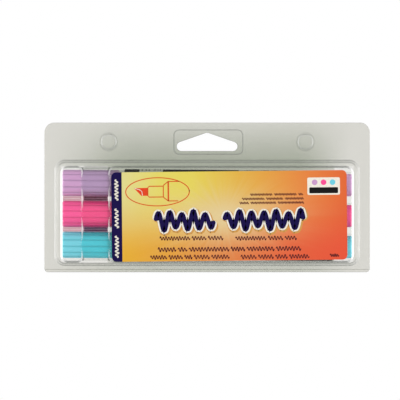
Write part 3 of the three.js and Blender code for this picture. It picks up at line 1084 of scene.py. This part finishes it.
def bar(left, right, low, high, corner):
    ring = rounded_ring(dict(left=left, right=right, low=low, high=high, corner=corner), 0, 0, steps=4)
    return [(x, z) for x, _, z in ring]


def drawn(name, strokes, layer, material):
    """Pen strokes of ink on the sticker, each a line of (u, v) points and a width."""
    back, front = ink_depths(layer)
    solids = []
    for points, width in strokes:
        rings = []
        for (lu, lv), (ru, rv) in stroke_sides(with_end_points(points, width / 2), width):
            rings.append([(lu, back, lv), (lu, front, lv), (ru, front, rv), (ru, back, rv)])
        solids.append(rings)
    ink_piece(name, solids, material)


def with_end_points(points, half):
    """The same line with extra points close to its two ends, where its stroke is rounded off."""
    head = extra_points(points[0], points[1], half)
    tail = extra_points(points[-1], points[-2], half)
    return [points[0], *head, *points[1:-1], *reversed(tail), points[-1]]


def extra_points(end, inner, half):
    run = Vector(inner) - Vector(end)
    reach = min(half, 0.5 * run.length)
    return [tuple(Vector(end) + run.normalized() * reach * share) for share in (0.1, 0.3, 0.6, 1)]


def stroke_sides(points, width):
    """The two sides of a stroke along the points, drawn together at its ends to round them off."""
    half = width / 2
    travelled = [0.0]
    for here, there in zip(points, points[1:]):
        travelled.append(travelled[-1] + math.dist(here, there))
    sides = []
    for i, (u, v) in enumerate(points):
        before = Vector(points[max(i - 1, 0)])
        after = Vector(points[min(i + 1, len(points) - 1)])
        run = (after - before).normalized()
        from_end = min(travelled[i], travelled[-1] - travelled[i], half)
        reach = max(math.sqrt(half**2 - (half - from_end) ** 2), 0.1 * half)
        sides.append(((u - run.y * reach, v + run.x * reach), (u + run.y * reach, v - run.x * reach)))
    return sides


def wave(left, right, low, high, turns, steps=16):
    """A wavy line from left to right, with peaks of uneven height: a scribble where words would be."""
    count = round(turns * steps)
    middle = (low + high) / 2
    swing = (high - low) / 2
    points = []
    for i in range(count + 1):
        share = i / count
        phase = 2 * math.pi * turns * share
        size = 0.82 + 0.18 * math.sin(0.43 * phase + left)
        points.append((left + (right - left) * share, middle + swing * size * math.sin(phase)))
    return points


def scribbled_words(left, low, height, pen, widths, gap=1.0):
    """A line of unreadable small print: one wavy stroke for each word."""
    strokes = []
    for width in widths:
        turns = max(1, round(width / (0.62 * height)))
        strokes.append((wave(left, left + width, low, low + height, turns, 10), pen))
        left += width + gap
    return strokes


def small_print():
    """The lines of print under and over the title, as (left, low, height, pen width, word widths)."""
    lines = [
        (10.9, 10.3, 1.3, 0.3, (11.5, 11.5, 2.4)),
        (6.8, 8.1, 1.3, 0.3, (11.5, 8.6, 9.7)),
        (5.4, 6.0, 1.3, 0.3, (4.7, 13.2, 13.4)),
        (-36.1, -12.5, 2.3, 0.46, (15.6, 7.4, 7.7)),
        (3.1, -12.8, 2.3, 0.46, (15.9, 7.7, 6.0)),
        (-37.1, -18.4, 2.5, 0.5, (9.3, 4.7, 20.8, 7.2, 14.2, 12.8)),
        (-41.1, -22.3, 2.4, 0.46, (8.5, 7.2, 3.9, 8.0, 9.3)),
        (5.8, -22.5, 2.4, 0.46, (8.0, 7.9, 6.2, 10.3)),
        (52.1, -21.8, 1.7, 0.5, (4.5,)),
    ]
    return [stroke for line in lines for stroke in scribbled_words(*line)]


def strip_words():
    """Three unreadable words that run up the navy band."""
    strokes = []
    for low, high in ((8.7, 19.4), (-5.6, 4.3), (-21.0, -9.8)):
        run = wave(low, high, -59.4, -57.4, round((high - low) / 1.9), 12)
        strokes.append(([(u, v) for v, u in run], 0.62))
    return strokes


STRIP_WIDTH = 5.4
TITLE_WORDS = ((-38.4, -8.0, 5), (-2.7, 38.6, 6.5))  # left end, right end and number of waves
TITLE_LOW = -7.3
TITLE_HIGH = 2.8
TITLE_PEN = 2.3


def title_strokes(extra=0.0, shift=(0, 0)):
    """Two bold scribbles in place of the title, drawn wider by extra and moved by shift."""
    strokes = []
    for left, right, turns in TITLE_WORDS:
        points = wave(left, right, TITLE_LOW, TITLE_HIGH, turns, 24)
        strokes.append(([(u + shift[0], v + shift[1]) for u, v in points], TITLE_PEN + extra))
    return strokes


def pictogram():
    """Line drawing of a marker's end in an oval: nose, cone and barrel; the nib is drawn solid."""
    middle = (-37.1, 12.9)
    oval = [(middle[0] + 16.5 * c, middle[1] + 7.3 * s) for c, s in arc(0, 0, 1, 0, 366, 64)]
    nose = [(-34.2, 10.2), (-41.4, 10.2), (-42.1, 10.9), (-42.1, 15.1), (-41.4, 15.8), (-34.2, 15.8)]
    lines = [
        oval,
        nose,
        [(-34.1, 10.1), (-34.1, 16.1)],
        [(-34.1, 16.1), (-31.6, 18.2), (-25.9, 18.2)],
        [(-34.1, 10.1), (-31.6, 8.1), (-26.4, 8.1)],
    ]
    return [(line, 0.5) for line in lines] + [([(-31.5, 18.2), (-31.5, 8.1)], 0.8)]


NIB_DRAWING = [(-49.3, 14.9), (-45.5, 10.9), (-42.3, 10.9), (-42.3, 15.0)]
NIB_EDGE = [(-49.0, 14.8), (-46.5, 14.1), (-45.2, 13.1), (-44.9, 11.0)]


def label(material, paper):
    label_sheet(material, paper)
    navy = ink_material("navy ink", to_linear(24, 13, 72))
    white = ink_material("white ink", to_linear(246, 240, 226))
    brown = ink_material("brown ink", to_linear(96, 38, 40))
    orange = ink_material("orange ink", to_linear(222, 92, 40))
    tan = ink_material("tan ink", to_linear(214, 158, 84))
    red = ink_material("red ink", to_linear(232, 74, 38))
    printed("strip_print", [strip_outline()], 1, navy)
    drawn("strip_words", strip_words(), 2, white)
    drawn("title_shadow", title_strokes(2.6, (0.4, -0.6)), 1, tan)
    drawn("title_outline", title_strokes(1.7), 2, white)
    drawn("title", title_strokes(), 3, navy)
    drawn("small_print", small_print(), 1, brown)
    drawn("pictogram", pictogram(), 1, orange)
    printed("pictogram_nib", [NIB_DRAWING], 1, red)
    drawn("pictogram_edge", [(NIB_EDGE, 0.3)], 2, white)
    badge(white)


def badge(white):
    """A plain panel at the upper right, with a dark bar and one dot for each marker's colour."""
    printed("badge", [bar(40.6, 57.5, 10.5, 19.5, 0.8)], 1, white)
    black = ink_material("black ink", (0.008, 0.008, 0.008))
    printed("badge_bar", [bar(41.6, 56.5, 11.3, 14.4, 0.5)], 2, black)
    for (name, look), u in zip(MARKERS.items(), (44.4, 49.05, 53.7)):
        ink = ink_material(f"{name} ink", look["colour"])
        printed(f"badge_{name}", [arc(u, 17.0, 1.45, 0, 360, 24)[:-1]], 2, ink)


def strip_outline():
    """The navy band at the sticker's left end, which follows its two rounded corners."""
    left, low = -LABEL_WIDTH / 2, -LABEL_HEIGHT / 2
    right = left + STRIP_WIDTH
    points = arc(left + LABEL_CORNER, low + LABEL_CORNER, LABEL_CORNER, 270, 180, 10)
    points += arc(left + LABEL_CORNER, -low - LABEL_CORNER, LABEL_CORNER, 180, 90, 10)
    return points + [(right, -low), (right, low)]


# ---- Studio ----
VIEW_WIDTH = 208.24 * MM  # the view's width at the flanges
VIEW_CENTRE = Vector((-3.7, 0, -34.9)) * MM
VIEW_DISTANCE = 4.0  # this and the sizes below are in metres
FLOOR_HEIGHT = -0.172
FLOOR_HALF = 0.45
SIDE_LIGHT = dict(x=0.6, y=-0.2, z=-0.02, size=(0.5, 0.34), watts=2)


def camera():
    data = bpy.data.cameras.new("camera")
    data.sensor_width = 36
    data.lens = data.sensor_width * VIEW_DISTANCE / VIEW_WIDTH
    data.clip_end = 20
    obj = bpy.data.objects.new("camera", data)
    obj.location = VIEW_CENTRE + Vector((0, -VIEW_DISTANCE, 0))
    obj.rotation_euler = (math.pi / 2, 0, 0)
    bpy.context.scene.collection.objects.link(obj)
    bpy.context.scene.camera = obj


def side_light(side):
    data = bpy.data.lights.new("side", "AREA")
    data.shape = "RECTANGLE"
    data.size, data.size_y = SIDE_LIGHT["size"]
    data.energy = SIDE_LIGHT["watts"]
    obj = bpy.data.objects.new("side", data)
    obj.location = (side * SIDE_LIGHT["x"], SIDE_LIGHT["y"], SIDE_LIGHT["z"])
    obj.rotation_euler = (VIEW_CENTRE - obj.location).to_track_quat("-Z", "Y").to_euler()
    bpy.context.scene.collection.objects.link(obj)


def studio():
    world = bpy.data.worlds.new("studio")
    world.use_nodes = True
    background = world.node_tree.nodes["Background"]
    background.inputs["Color"].default_value = (1, 1, 1, 1)
    background.inputs["Strength"].default_value = 1.0
    bpy.context.scene.world = world
    bpy.context.scene.view_settings.view_transform = "Standard"
    corners = ((-1, -1), (1, -1), (1, 1), (-1, 1))
    points = [(x * FLOOR_HALF, y * FLOOR_HALF, FLOOR_HEIGHT) for x, y in corners]
    floor = mesh_object("floor", points, [(0, 1, 2, 3)])
    floor.data.materials.append(floor_material())
    for side in (-1, 1):
        side_light(side)


# ---- Assembly ----
film = film_material()
white = moulded_material("white plastic", (0.80, 0.80, 0.77))
natural = moulded_material("natural plastic", (0.78, 0.78, 0.72), 0.5)
barrel_print = barrel_material()

camera()
studio()
front_shell(film)
back_shell(film)
fold(film)
label(label_material(), paper_material())
for marker, look in MARKERS.items():
    plastic = moulded_material(f"{marker} plastic", look["colour"])
    felt = felt_material(f"{marker} felt", look["colour"])
    cap(marker, look["turn"], moulded_material(f"{marker} cap plastic", look["colour"], cap=look))
    barrel(marker, barrel_print)
    tail_plug(marker, plastic)
    inner_parts(marker, felt, white, natural)
